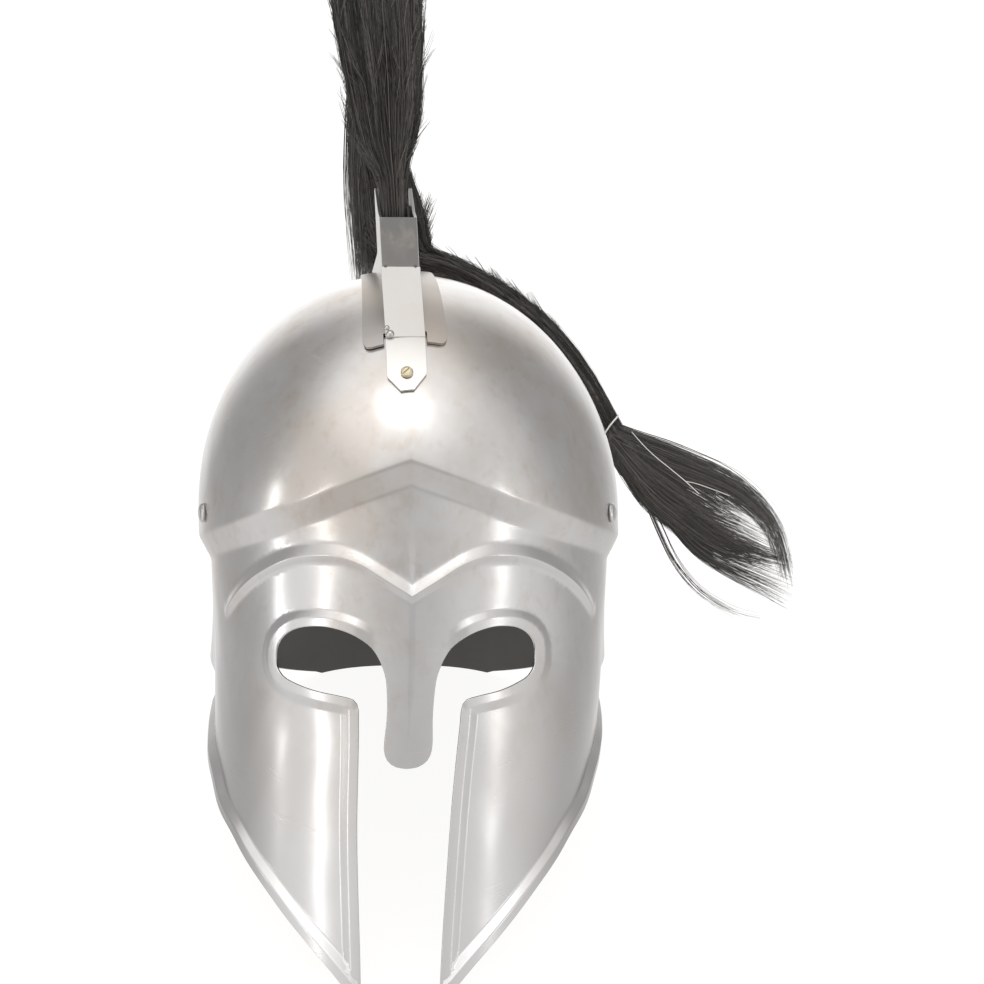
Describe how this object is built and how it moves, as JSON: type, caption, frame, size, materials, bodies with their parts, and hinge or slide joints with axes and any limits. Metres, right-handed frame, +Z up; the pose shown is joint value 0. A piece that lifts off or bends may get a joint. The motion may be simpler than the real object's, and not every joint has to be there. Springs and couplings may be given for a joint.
{
  "type": "greek helmet",
  "caption": "Closed Greek-style steel helmet with T-shaped face opening, stepped crown, flared neck guard and a tied black horsehair plume in a sheet-steel holder.",
  "frame": {"origin": "middle of the bounding box, at the floor the helmet rests on", "axes": "+Z up from the floor; the face looks along -Y and the helmet leans back, resting on its two cheek tips and the rim of its neck guard; +X is the wearer's left, the viewer's right"},
  "size_m": [0.298, 0.3882, 0.4231],
  "materials": {
    "polished_steel": "hand-polished, light scratches and faint warm smudges outside; darker and dull inside",
    "holder_steel": "satin sheet steel with small weld spots",
    "screw_brass": "satin, slotted",
    "rivet_steel": "polished",
    "black_horsehair": "long straight black hair with brownish ends",
    "white_thread": "matt cotton thread"
  },
  "bodies": {
    "root": {"shell": "polished_steel", "plume_holder": "holder_steel", "holder_screw": "screw_brass", "strap_rivet_left": "rivet_steel", "strap_rivet_right": "rivet_steel", "plume": "black_horsehair", "plume_tie": "white_thread"}
  },
  "joints": []
}
